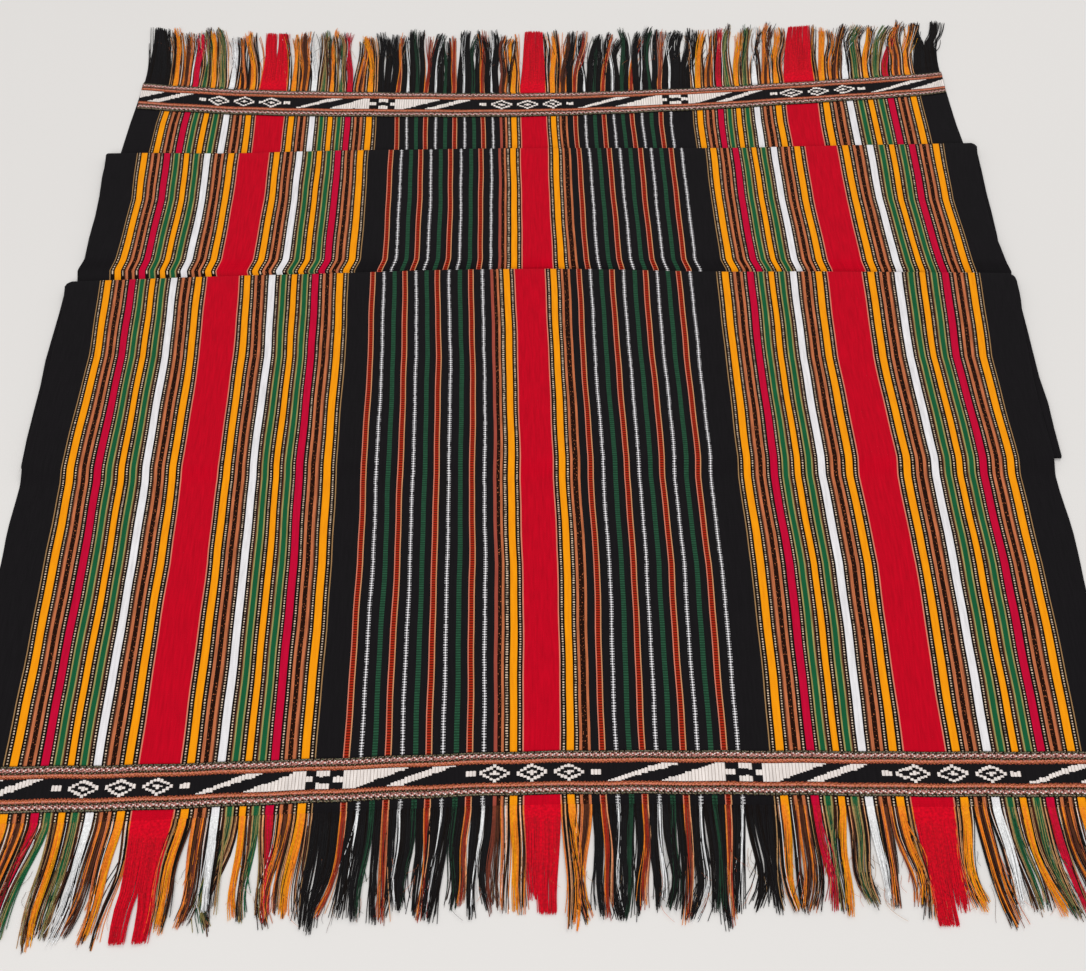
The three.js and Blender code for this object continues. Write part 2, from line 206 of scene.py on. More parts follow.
# The cloth's columns: the widest one, and the parts that the outer one on each side is cut into.
WIDEST_COLUMN = 9.0
SELVEDGE_PARTS = 5

# The bands' pattern repeats unevenly. Steps along one even repeat, at its crossed blocks and
# at its dots, lie at each band's own places, in millimetres of x.
PATTERN_REPEAT = 404.7
PATTERN_STEPS = (-404.7, -265.7, -139, 0, 139, 265.7, 404.7, 543.7, 670.4, 809.4)
# Both long edges of each band at those warp positions, in millimetres of y.
BANDS = {
    "near": {
        "low": (-529, -528, -525.5, -518, -509, -509.5, -511, -511.5, -512),
        "high": (-481, -480, -478.5, -472.5, -464, -463.5, -464.5, -464.5, -464),
        "row": "near_end", "seed": 31,
        "places": (-593, -461.9, -342, -211, -69.5, 50.7, 193.7, 329.2, 452.7, 588)},
    "far": {
        "low": (468, 464, 456, 452.5, 453, 466, 476, 493.5, 501),
        "high": (520, 515, 506.5, 501.5, 499.5, 510.5, 520, 537.5, 544),
        "row": "far_end", "seed": 47,
        "places": (-584, -459.4, -343, -216, -80.6, 35.9, 178, 310.8, 432.2, 587)},
}
# Each band's width as laid and over its raised borders, its thickness, how far its base lies
# above the cloth, how far it juts out past the selvedges, and the height of its outer edges.
BAND_WIDTH = 48
BAND_THICKNESS = 0.8
BAND_BASE = 0.9
BAND_OVERHANG = 1.2
BAND_EDGE = 0.2
# The charted heights are lowered by this factor.
BAND_RELIEF = 0.8
RIB_PITCH = 3.3
# Each rib of the field: where its facets start, as parts of its width, and how high they are.
# The last facet is the groove between two ribs, which the white field fills with a darker painted shade.
# The ribs are lower in the borders.
RIB_STEPS = (0.0, 0.42, 0.84)
RIB_HEIGHTS = (0.1, 0.45, 0.1)
BORDER_RIB_SHARE = 0.4
# Where the field starts, as a part of the band's width, its rows, their height, and how far a
# rib of it may lag, as a part of the field's height.
FIELD_START = 0.295
FIELD_ROWS = 17
FIELD_HEIGHT = 0.9
FIELD_LAG = 0.03

# The braided border, from the outer edge to the field: width in millimetres, height above the
# band's base, and the chart of its yarns along the band, six steps to a repeat.
BORDER_ROWS = (
    (0.8, 0.3, ("black", "olive", "black", "black", "umber", "black")),
    (0.9, 0.7, ("stone", "olive", "sage", "stone", "umber", "sage")),
    (0.9, 0.8, ("umber", "black", "olive", "umber", "black", "olive")),
    (1.0, 1.2, ("pink", "ivory", "mauve", "umber", "olive", "mauve")),
    (1.0, 1.5, ("mauve", "pink", "pink", "pink", "mauve", "ivory")),
    (1.0, 1.4, ("umber", "mauve", "pink", "ivory", "pink", "mauve")),
    (0.9, 1.1, ("mauve", "pink", "mauve", "umber", "mauve", "pink")),
    (0.9, 0.8, ("umber", "olive", "umber", "olive", "stone", "umber")),
    (0.9, 0.8, ("olive", "umber", "stone", "umber", "olive", "umber")),
    (0.9, 1.0, ("brick", "umber", "brick", "mauve", "umber", "brick")),
    (1.0, 1.3, ("salmon", "rust", "pink", "salmon", "rust", "salmon")),
    (1.0, 1.4, ("rust", "brick", "rust", "rust", "salmon", "brick")),
    (1.0, 1.2, ("brick", "rust", "brick", "brick", "brick", "rust")),
    (0.9, 0.8, ("umber", "brick", "brick", "umber", "brick", "umber")),
)

# White shapes of one repeat of the field, about its crossed block: corners as millimetres
# along the band and parts of the field's height from its near edge.
FIELD_SHAPES = (
    ((-129, 0), (-118, 0), (-57.5, 1), (-77.5, 1)),
    ((-80.5, 0), (-17.5, 0), (-17.5, 1), (-26, 1)),
    ((-19, 0.36), (-9.6, 0.36), (-9.6, 0.66), (-19, 0.66)),
    ((-6.5, 0.68), (6.7, 0.68), (6.7, 1), (-6.5, 1)),
    ((-6.5, 0), (6.7, 0), (6.7, 0.3), (-6.5, 0.3)),
    ((9.8, 0.36), (19, 0.36), (19, 0.66), (9.8, 0.66)),
    ((18, 0), (31, 0), (82, 1), (18, 1)),
    ((57.5, 0), (74, 0), (124, 1), (106, 1)),
    ((-144, 0.36), (-134, 0.36), (-134, 0.64), (-144, 0.64)),
    ((134, 0.36), (144, 0.36), (144, 0.64), (134, 0.64)),
)
# Between the dots the field holds a plain row of stepped lozenges, each with a dot in it. They
# step inwards by one rib at a time: the outline's inner edge and thickness, and the dot's half
# height, are parts of the field's height from its middle.
LOZENGES = {"count": 3, "spacing": 37.6, "rib": 3.42, "ribs": 4}
LOZENGE_CHART = (
    {"inner": 0.31, "thick": 0.17, "dot": 0.12}, {"inner": 0.24, "thick": 0.15, "dot": 0.05},
    {"inner": 0.15, "thick": 0.15, "dot": 0}, {"inner": 0.06, "thick": 0.15, "dot": 0},
    {"inner": 0, "thick": 0.11, "dot": 0},
)

# How far the fringe reaches at the near and the far end, by warp position, in millimetres.
FRINGE_LENGTHS = (
    {"until": 46, "near": 112, "far": 118}, {"until": 180, "near": 121, "far": 124},
    {"until": 222, "near": 122, "far": 120}, {"until": 366, "near": 116, "far": 126},
    {"until": 392, "near": 110, "far": 130}, {"until": 552, "near": 112, "far": 131},
    {"until": 600, "near": 110, "far": 130}, {"until": 760, "near": 119, "far": 128},
    {"until": 790, "near": 110, "far": 123}, {"until": 930, "near": 110, "far": 127},
    {"until": 976, "near": 119, "far": 119}, {"until": 1107, "near": 116, "far": 115},
    {"until": 1151, "near": 108, "far": 109},
)
# A lock is a broad stripe by itself, or a bundle of thin ones of about this breadth.
BROAD_STRIPE = 3.0
BUNDLE_WIDTHS = (4, 8)
# The locks lie in hanks: how broad these are in millimetres, how far they draw together, how
# much they and the locks in them bend, how far they drift, how late they gather, the share of
# yarns that stay outside them, and the yarns to a millimetre. The fan is how far the hanks of
# an end lean outwards towards the selvedges, by which power of the place, and their shift.
HANKS = {
    "near": {"seed": 5, "widths": (12, 23), "squeeze": (0.25, 0.58), "bend": 5.0, "sway": 2.4,
             "cross": 1.9, "drift": 4.0, "ease": 2.7, "loose": 0.42, "dense": 2.8,
             "fan": {"power": 3, "lean": 24, "shift": -1}},
    "far": {"seed": 8, "widths": (7, 15), "squeeze": (0.0, 0.28), "bend": 2.6, "sway": 2.4,
            "cross": 1.8, "drift": 4.6, "ease": 2.6, "loose": 0.5, "dense": 3.1,
            "fan": {"power": 1, "lean": 19, "shift": 2}},
}
# Hanks broader than this are the red tassels and the black corners, which lie more evenly.
TASSEL_BREADTH = 25
# Where these lie by warp position: the left tassel ends, the middle of the two others, and the
# right corner starts. The black selvedges reach in this far from the left and the right.
LEFT_TASSEL_END = 400
TASSELS_PART = 600
RIGHT_CORNER_START = 1100
CORNER_BREADTHS = (47, 45.5)
# How far the two tails of a forked tassel part to each side, and those of the far right corner.
TASSEL_TAILS = {"near": 3.6, "far": 1.5}
CORNER_TAILS = 9.0
# How tassels and corners lie: their part of the fan's lean, how far they stray and draw
# together, and how even a black corner is, where a red tassel is wholly even.
TASSEL_LEAN = 0.7
TASSEL_STRAY = (-2, 2)
TASSEL_SQUEEZE = (0.22, 0.32)
CORNER_SQUEEZE = 0.45
CORNER_EVENNESS = 0.4
# How yarns are cut, as parts of their lock's reach: loose ones and even ones, the few broken
# ones, and those on the short side of a tassel.
YARN_CUTS = {"loose": (0.9, 1.03), "even": (0.98, 1.01), "broken": (0.6, 0.85), "notched": (0.8, 0.9)}
BROKEN_SHARE = 0.08
NOTCH_START = 5
# How far a yarn strays at its tip, in its hank and outside it, how much such a yarn still
# follows the hank, and how high the upper yarns lie above the others.
YARN_STRAY = {"held": 0.9, "loose": 3.0}
LOOSE_HOLD = (0.1, 0.6)
YARN_TIERS = (0.0, 0.0, 0.9)
YARN_RADIUS = 0.54
YARN_TAPER = 0.4
YARN_POINTS = 9
# Fine hairs beside the tips: their number, where they start beyond the weave, their length,
# their turn and their thickness beside a yarn's.
STRAY_HAIRS = {"count": 150, "start": (48, 96), "length": (14, 34), "turn": 1.4, "size": 0.3,
               "dyes": ("tan", "rust", "brown", "black")}
# The knots under the near band: the dye for each kind of yarn that has them, their points,
# breadth and step, where they start and how high they lie, and their thickness beside a yarn's.
LADDER_KNOTS = {"dyes": {"white_core": "white", "red_rungs": "red_rung", "deep_green": "deep_green"},
                "points": 8, "breadth": 1.1, "step": 1.9, "start": 2.5, "height": 2.1, "size": 0.9}
YARN_DYES = ("black", "red", "crimson", "gold", "orange", "green", "deep_green", "white", "rust",
             "tan", "umber", "brown", "red_rung", "brick", "soot", "moss", "apricot")
YARN_KINDS = {
    "black": ("black", "black", "soot"), "red": ("red",), "crimson": ("crimson", "crimson", "red_rung"),
    "gold": ("gold", "orange", "orange"), "green": ("green", "green", "deep_green", "moss"),
    "white": ("white",), "rust": ("rust", "brick", "orange", "orange"), "tan": ("tan", "apricot"),
    "moss": ("moss", "tan"), "brown": ("brown", "umber"), "salmon": ("rust", "orange"),
    "apricot": ("rust", "apricot"), "rose": ("brick",), "umber": ("umber", "brown", "brown"),
    "soot": ("soot", "soot", "brown"), "dots": ("soot", "tan", "apricot", "white"),
    "deep_green": ("deep_green", "deep_green", "black"), "red_rungs": ("red_rung", "brick"),
    "white_rungs": ("black", "black", "white"), "white_core": ("white",),
}
# Painted light: how much brighter each dye is drawn in the loose yarns than in the weave; soot is drawn a
# little darker.
YARN_PAINTED_LIGHT = {"red": 1.3, "crimson": 1.2, "gold": 1.2, "orange": 1.35, "white": 1.3, "rust": 1.3,
             "apricot": 1.4, "tan": 1.4, "green": 1.2, "soot": 0.9}

# The camera, fitted to the photo: its lens and sensor, its tilt up from straight down in
# degrees, and its place before and above the cloth in millimetres.
CAMERA = {"lens": 47.48, "sensor": 36, "tilt": 35, "foot": -1050.0, "height": 1288.3}
# Soft lamps: where they hang and how wide they are, in metres, and their power in watts.
LAMPS = (
    {"name": "soft_key", "place": (-1.2, -5.0, 3.6), "size": 3.0, "power": 173.0},
    {"name": "soft_fill", "place": (1.5, 3.5, 5.0), "size": 4.0, "power": 125.0},
)
SKY_STRENGTH = 0.51
# Half the floor's side in metres, and how far below the cloth it lies in millimetres.
FLOOR_REACH = 6
FLOOR_DROP = 0.1

# A wave texture makes 3.183 bands over one unit of its coordinates.
WAVE_BANDS = 3.1831
# The weave as drawn, in millimetres: a warp rib's width, a pick's length and the relief.
WEAVE = {"rib": 1.8, "pick": 2.2, "relief": 0.25, "strength": 0.35}
# Streaks of uneven dye, in millimetres across and along the yarns.
DYE_STREAK = (2.4, 30.0)


def linear(code):
    """A colour from its sRGB hex code, in linear light."""
    parts = [int(code[i:i + 2], 16) / 255 for i in (1, 3, 5)]
    return tuple(c / 12.92 if c <= 0.04045 else ((c + 0.055) / 1.055) ** 2.4 for c in parts)


def colour_property(label, code, words):
    return bpy.props.FloatVectorProperty(
        name=label, description=words, subtype="COLOR", size=3, min=0, max=1, default=linear(code))


class WrapperCloth(bpy.types.PropertyGroup):
    """Sizes of the cloth and its yarns."""

    thickness: bpy.props.FloatProperty(
        name="Cloth thickness", description="Thickness of one layer of the cloth",
        default=1.6 * MM, min=0.8 * MM, max=3 * MM, subtype="DISTANCE", unit="LENGTH")
    yarn_radius: bpy.props.FloatProperty(
        name="Yarn radius", description="Radius of one loose warp yarn of the fringes",
        default=YARN_RADIUS * MM, min=0.2 * MM, max=1.5 * MM, subtype="DISTANCE", unit="LENGTH")
    rung_pitch: bpy.props.FloatProperty(
        name="Rung pitch", description="Distance from one pick of the ladder stripes to the next",
        default=2.9 * MM, min=1 * MM, max=5 * MM, subtype="DISTANCE", unit="LENGTH")


class WrapperDyes(bpy.types.PropertyGroup):
    """Colours of the dyed yarns."""

    black: colour_property("Black", "#171517", "Black ground and selvedges")
    red: colour_property("Red", "#C2031F", "The three broad red stripes")
    crimson: colour_property("Crimson", "#C20634", "Narrow crimson stripes")
    gold: colour_property("Gold", "#FF9A0C", "Gold stripes")
    green: colour_property("Green", "#165C38", "Leaf green stripes")
    deep_green: colour_property("Deep green", "#204430", "Dark green lines of the ladder zones")
    white: colour_property("White", "#E9E6E8", "White stripes and ladders")
    rust: colour_property("Rust", "#BC6C46", "Rust pairs and band edges")
    tan: colour_property("Tan", "#A07C52", "Thin tan lines")
    salmon: colour_property("Salmon", "#D88068", "Thin salmon lines")
    rose: colour_property("Rose", "#A04A3C", "Rose line beside the middle group")
    moss: colour_property("Moss", "#9C9058", "Olive lines beside the green stripes")
    brown: colour_property("Brown", "#5E3422", "Thin brown lines beside the pick-up lines")
    soot: colour_property("Soot", "#140B07", "Warm black beside the flecks of the pick-up lines")
    umber: colour_property("Umber", "#210E07", "Dark brown between the rust pairs")
    # Painted shade: a darker copy of the ivory, drawn in the grooves between the white ribs of the bands.
    seam: colour_property("Rib line", "#A2958C", "Thin lines between the white ribs of the bands")
    brick: colour_property("Brick", "#84402E", "Brick red edge of the bands")
    pink: colour_property("Pink", "#BE8278", "Pink cord of the band borders")
    mauve: colour_property("Mauve", "#80504A", "Brownish mauve cord of the band borders")
    olive: colour_property("Olive", "#4E4630", "Olive yarn of the band borders")
    sage: colour_property("Sage", "#6A6C58", "Grey-green outer edge of the bands")
    stone: colour_property("Stone", "#8E7C68", "Pale brown flecks of the band borders")
    ivory: colour_property("Ivory", "#ECE2DC", "Undyed yarn of the bands")
    red_rung: colour_property("Red rung", "#A82812", "Red of the rust ladders")
    fleck: colour_property("Fleck", "#E4CCB2", "Pale flecks of the pick-up lines")
    apricot: colour_property("Apricot", "#CE9468", "Thin pale orange lines of the rust ladders")
    orange: colour_property("Orange", "#EC7C20", "Cut ends of the gold and rust yarns")
    floor: colour_property("Floor", "#E8E5E2", "Pale floor")


# Smooth curves through the rows

def at_warp(values, warp):
    """A smooth curve through the values of a row, read at a warp position."""
    i = 0
    while i < len(WARP_KNOTS) - 2 and warp > WARP_KNOTS[i + 1]:
        i += 1

    def slope(k):
        a, b = max(k - 1, 0), min(k + 1, len(values) - 1)
        return (values[b] - values[a]) / (WARP_KNOTS[b] - WARP_KNOTS[a])

    span = WARP_KNOTS[i + 1] - WARP_KNOTS[i]
    t = (warp - WARP_KNOTS[i]) / span
    return ((2 * t**3 - 3 * t**2 + 1) * values[i] + (t**3 - 2 * t**2 + t) * span * slope(i)
            + (3 * t**2 - 2 * t**3) * values[i + 1] + (t**3 - t**2) * span * slope(i + 1))


def corner_cut(name, warp):
    """How far a fold's rounded corners draw it back at a warp position."""
    cut = 0.0
    for (breadth, depth), off in zip(FOLD_CORNERS.get(name, ()), (warp, CLOTH_WIDTH - warp)):
        t = 1 - min(max(off, 0.0) / breadth, 1.0)
        cut += depth * (1 - math.sqrt(1 - t * t))
    return cut


def row_at(name, warp):
    xs, ys = ROWS[name]
    return at_warp(xs, warp), at_warp(ys, warp) - corner_cut(name, warp)


def mix(a, b, t):
    return a + (b - a) * t


def smooth_step(t):
    t = min(max(t, 0.0), 1.0)
    return t * t * (3 - 2 * t)


def frame_shift():
    """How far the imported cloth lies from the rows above, in millimetres."""
    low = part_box("wrapper_cloth")[0]
    return low[0] / MM - min(ROWS["fold_1"][0]), low[1] / MM - min(ROWS["near_end"][1])


SHIFT_X, SHIFT_Y = frame_shift()


def placed(x, y, z):
    """A point of the rows' own plan, in metres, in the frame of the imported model."""
    return Vector(((x + SHIFT_X) * MM, (y + SHIFT_Y) * MM, z * MM))


# Materials

def add_node(tree, kind, settings=None, inputs=None):
    """Adds a node, sets its values, and links or sets its inputs."""
    node = tree.nodes.new(kind)
    for name, value in (settings or {}).items():
        setattr(node, name, value)
    for name, value in (inputs or {}).items():
        if isinstance(value, bpy.types.NodeSocket):
            tree.links.new(value, node.inputs[name])
        else:
            node.inputs[name].default_value = value
    return node


def shader_tree(name, roughness, sheen):
    """A new material with its shader; fibre has no metal in it and a broad, soft gloss."""
    material = bpy.data.materials.new(name)
    material.use_nodes = True
    shader = material.node_tree.nodes["Principled BSDF"]
    shader.inputs["Roughness"].default_value = roughness
    shader.inputs["IOR"].default_value = 1.5
    shader.inputs["Specular IOR Level"].default_value = 0.04
    shader.inputs["Sheen Weight"].default_value = sheen
    shader.inputs["Sheen Roughness"].default_value = 0.6
    return material, material.node_tree, shader


def dye(name):
    return (*getattr(bpy.context.scene.wrapper_dyes, name), 1.0)


def shade(colour, factor):
    return tuple(min(c * factor, 1.0) for c in colour[:3]) + (1.0,)


def stretched_uv(tree, across_mm, along_mm):
    """The cloth's own flat coordinates, counted in yarns across and picks along."""
    uv = add_node(tree, "ShaderNodeUVMap", {"uv_map": "flat"})
    scale = (1000 / across_mm, 1000 / along_mm, 1.0)
    mapping = add_node(tree, "ShaderNodeMapping", None, {"Vector": uv.outputs["UV"], "Scale": scale})
    return mapping.outputs[0]


def noise(tree, vector, inputs):
    """Soft random patches or streaks, between 0 and 1."""
    return add_node(tree, "ShaderNodeTexNoise", None, {"Vector": vector, **inputs}).outputs["Fac"]


def bands(tree, vector, direction, inputs):
    """Even waves across or along the warp, between 0 and 1."""
    wave = add_node(tree, "ShaderNodeTexWave", {"wave_type": "BANDS", "bands_direction": direction},
                    {"Vector": vector, "Scale": 1.0, **inputs})
    return wave.outputs["Fac"]


def between(tree, value, low, high, to=(0.0, 1.0)):
    """Spreads what lies between two levels over a whole range."""
    return add_node(tree, "ShaderNodeMapRange", None, {
        "Value": value, "From Min": low, "From Max": high, "To Min": to[0], "To Max": to[1]}).outputs[0]


def two_tone(tree, share, first, second):
    """Goes from one colour to another as the share goes from 0 to 1."""
    mixed = add_node(tree, "ShaderNodeMix", {"data_type": "RGBA"}, {"Factor": share, 6: first, 7: second})
    return mixed.outputs[2]


def uneven_dye(tree, colour, patches, spread):
    """Dye that took unevenly: a little darker and lighter than the colour."""
    share = between(tree, patches, 0.3, 0.7)
    return two_tone(tree, share, shade(colour, 1 - spread), shade(colour, 1 + spread))


def raised(tree, shader, height, strength, relief_mm):
    """Lets a pattern of heights catch the light."""
    bump = add_node(tree, "ShaderNodeBump", None,
                    {"Strength": strength, "Distance": relief_mm * MM, "Height": height})
    tree.links.new(bump.outputs[0], shader.inputs["Normal"])


def weave_relief(tree, shader):
    """Ribs of a warp-faced weave: warp yarns side by side, dipping under each pick."""
    grid = stretched_uv(tree, WEAVE["rib"] * WAVE_BANDS, WEAVE["pick"] * WAVE_BANDS)
    yarns = bands(tree, grid, "X", {"Distortion": 0.6, "Detail": 1.0})
    picks = bands(tree, grid, "Y", {"Distortion": 0.9, "Detail": 1.0})
    both = add_node(tree, "ShaderNodeMath", {"operation": "ADD"}, {0: yarns, 1: picks})
    raised(tree, shader, both.outputs[0], WEAVE["strength"], WEAVE["relief"])


def plain_warp(name, dye_name, spread=0.13):
    """Hand-spun, dyed cotton packed close in a warp-faced weave: matte, finely ribbed, with
    streaks along its yarns. The real yarn is 0.9 mm; its ribs are drawn twice as wide so that
    they show."""
    material, tree, shader = shader_tree(name, roughness=0.88, sheen=0.015)
    streaks = noise(tree, stretched_uv(tree, *DYE_STREAK), {"Scale": 1.0, "Detail": 3.0, "Roughness": 0.6})
    colour = uneven_dye(tree, dye(dye_name), streaks, spread)
    tree.links.new(colour, shader.inputs["Base Color"])
    weave_relief(tree, shader)
    return material


def flecked_warp(name, dark_name, light_name, across_mm, along_mm, level):
    """Pick-up weave: pale floats of a few millimetres scattered along a dark line."""
    material, tree, shader = shader_tree(name, roughness=0.9, sheen=0.015)
    patches = noise(tree, stretched_uv(tree, across_mm, along_mm),
                    {"Scale": 1.0, "Detail": 1.0, "Roughness": 0.4})
    floats = between(tree, patches, level - 0.04, level + 0.04)
    tree.links.new(two_tone(tree, floats, dye(dark_name), dye(light_name)), shader.inputs["Base Color"])
    weave_relief(tree, shader)
    return material


def rung_warp(name, dark, light, pitch_mm, level, ragged, fade):
    """Ladder stripe: weft-wise floats lie across the warp like the rungs of a ladder. Ragged
    rungs are unevenly spaced, and faded ones come and go along the stripe. The real picks are
    1.9 mm apart, and they are drawn a little coarser so that they show."""
    material, tree, shader = shader_tree(name, roughness=0.88, sheen=0.015)
    rungs = bands(tree, stretched_uv(tree, 60.0, pitch_mm * WAVE_BANDS), "Y",
                  {"Distortion": ragged, "Detail": 1.0, "Detail Scale": 1.5})
    patches = noise(tree, stretched_uv(tree, 3.0, 7.0), {"Scale": 1.0, "Detail": 1.0})
    strength = between(tree, patches, 0.36, 0.56, to=(1.0 - fade, 1.0))
    share = add_node(tree, "ShaderNodeMath", {"operation": "MULTIPLY"},
                     {0: between(tree, rungs, level - 0.12, level + 0.12), 1: strength})
    tree.links.new(two_tone(tree, share.outputs[0], dark, light), shader.inputs["Base Color"])
    raised(tree, shader, rungs, strength=0.5, relief_mm=0.3)
    return material


def loose_yarn(name, dye_name, spread=0.2):
    """Cut ends of the cotton warp: soft, fibrous and a little uneven in colour."""
    material, tree, shader = shader_tree(name, roughness=0.9, sheen=0.04)
    place = add_node(tree, "ShaderNodeTexCoord").outputs["Object"]
    # Painted light: the dye is drawn brighter here than in the weave, by its factor in the table of painted
    # light.
    lit = shade(dye(dye_name), YARN_PAINTED_LIGHT.get(dye_name, 1.0))
    colour = uneven_dye(tree, lit, noise(tree, place, {"Scale": 420.0, "Detail": 2.0}), spread)
    tree.links.new(colour, shader.inputs["Base Color"])
    twist = noise(tree, place, {"Scale": 900.0, "Detail": 1.0})
    raised(tree, shader, twist, strength=0.4, relief_mm=0.2)
    return material


def matte_floor(name):
    """Seamless matte paper: no gloss, the faintest mottling."""
    material, tree, shader = shader_tree(name, roughness=0.95, sheen=0.0)
    place = add_node(tree, "ShaderNodeTexCoord").outputs["Object"]
    mottling = noise(tree, place, {"Scale": 3.0, "Detail": 2.0})
    tone = two_tone(tree, mottling, shade(dye("floor"), 0.985), shade(dye("floor"), 1.0))
    tree.links.new(tone, shader.inputs["Base Color"])
    return material


def cloth_materials():
    """The cloth's materials by kind of stripe."""
    pitch = bpy.context.scene.wrapper_cloth.rung_pitch / MM
    kinds = {kind: plain_warp("warp_faced_cotton_" + kind, kind) for kind in (
        "black", "red", "crimson", "gold", "green", "white", "salmon", "apricot", "tan", "rose",
        "brown", "soot")}
    for kind in ("rust", "moss"):
        kinds[kind] = plain_warp("warp_faced_cotton_" + kind, kind, 0.3)
    kinds["umber"] = flecked_warp("pick_up_cotton_umber", "umber", "rust", 1.6, 2.0, 0.68)
    kinds["dots"] = rung_warp(
        "pick_up_cotton_dots", dye("soot"), dye("fleck"), pitch, 0.5, 2.2, 0.7)
    kinds["deep_green"] = rung_warp(
        "ladder_cotton_green", shade(dye("deep_green"), 0.7), shade(dye("deep_green"), 1.6),
        pitch, 0.5, 1.5, 0.4)
    kinds["red_rungs"] = rung_warp(
        "ladder_cotton_red", shade(dye("red_rung"), 0.3), shade(dye("red_rung"), 1.1),
        pitch, 0.5, 0.8, 0.2)
    kinds["white_rungs"] = rung_warp(
        "ladder_cotton_white", dye("black"), shade(dye("white"), 0.6), pitch, 0.62, 1.4, 0.85)
    kinds["white_core"] = rung_warp(
        "ladder_cotton_white_core", shade(dye("white"), 0.25), shade(dye("white"), 1.1),
        pitch, 0.25, 1.4, 0.0)
    return kinds


# Shapes

def stripe_edges():
    """Every column of the cloth: kind of yarn, where it starts and where it ends."""
    columns, start = [], 0.0
    for width, stripes in ZONES:
        scale = width / sum(w for _, w in stripes)
        for kind, own in stripes:
            breadth = own * scale
            parts = max(1, math.ceil(breadth / WIDEST_COLUMN))
            for _ in range(parts):
                columns.append((kind, start, start + breadth / parts))
                start += breadth / parts
    fit = CLOTH_WIDTH / start
    return [(kind, a * fit, b * fit) for kind, a, b in columns]


def finer_selvedges(columns):
    """Cuts the outer column on each side finer, for the folds' rounded corners."""

    def cut(column):
        kind, a, b = column
        parts = [mix(a, b, k / SELVEDGE_PARTS) for k in range(SELVEDGE_PARTS + 1)]
        return [(kind, c, d) for c, d in zip(parts, parts[1:])]

    return cut(columns[0]) + columns[1:-1] + cut(columns[-1])


def level_height(level, half):
    return half + level * LAYER_STEP


def swell(x, y, z, half):
    """Low swells over the pleats; the layers below rise with the top one by their share."""
    share = min(max((z - half) / (2 * LAYER_STEP), 0.0), 1.0)
    waves = (size * math.sin(x / across + y / along + start) for size, across, along, start in SWELL_WAVES)
    return z + PLEAT_WAVE * sum(waves, 0.5) * share


def middle_line(warp, half):
    """The middle of the cloth's thickness, from the near end to the far end."""
    line = []

    def add(x, y, z):
        line.append((x, y, swell(x, y, z, half)))

    for piece in SECTION:
        if piece["kind"] == "run":
            ax, ay = row_at(piece["start"], warp)
            bx, by = row_at(piece["end"], warp)
            by -= piece.get("short", 0)
            ay -= HEADINGS["near"] if piece["start"] == "near_end" else 0
            by += HEADINGS["far"] if piece["end"] == "far_end" else 0
            for k in range(1 if line else 0, piece["parts"] + 1):
                t = k / piece["parts"]
                add(mix(ax, bx, t), mix(ay, by, t), level_height(piece["level"], half))
        elif piece["kind"] == "rise":
            x, y = row_at(piece["at"], warp)
            foot = line[-1][0]
            for k in range(1, piece["parts"] + 1):
                t = k / piece["parts"]
                z = mix(level_height(0, half), level_height(2, half), smooth_step(t))
                add(mix(foot, x, smooth_step(t)), y - piece["run"] * (1 - t), z)
        else:
            x, y = row_at(piece["at"], warp)
            high, low = level_height(piece["high"], half), level_height(piece["low"], half)
            radius, middle = (high - low) / 2, (high + low) / 2
            for k in range(1, TURN_FACETS + 1):
                angle = math.pi * (0.5 - k / TURN_FACETS)
                add(x, y + piece["side"] * radius * math.cos(angle), middle + radius * math.sin(angle))
    return line


def ridge_height(x, along):
    """Height that the soft ridges add to the single layer near the front."""
    rise = 0.0
    for ridge in SOFT_RIDGES:
        off = along - ridge["along"] - ridge["wander"] * math.sin(x / RIDGE_WAVES["wander"])
        bell = smooth_step(1 - abs(off) / ridge["half"])
        swelling = 0.6 + 0.4 * math.sin(x / RIDGE_WAVES["swell"] + ridge["along"])
        rise += ridge["height"] * bell * swelling
    return rise


def selvedge_wander(warp, along, column):
    """How far the cloth wanders sideways near its selvedges, each column in its own fine wave."""
    edge = smooth_step(1 - min(warp, CLOTH_WIDTH - warp) / SELVEDGE_WANDER["breadth"])
    (fine, short), (coarse, long) = SELVEDGE_WANDER["fine"], SELVEDGE_WANDER["coarse"]
    return edge * (fine * math.sin(along / short + column) + coarse * math.sin(along / long))


def new_object(name, mesh, materials):
    for material in materials:
        mesh.materials.append(material)
    made = bpy.data.objects.new(name, mesh)
    bpy.context.collection.objects.link(made)
    return made


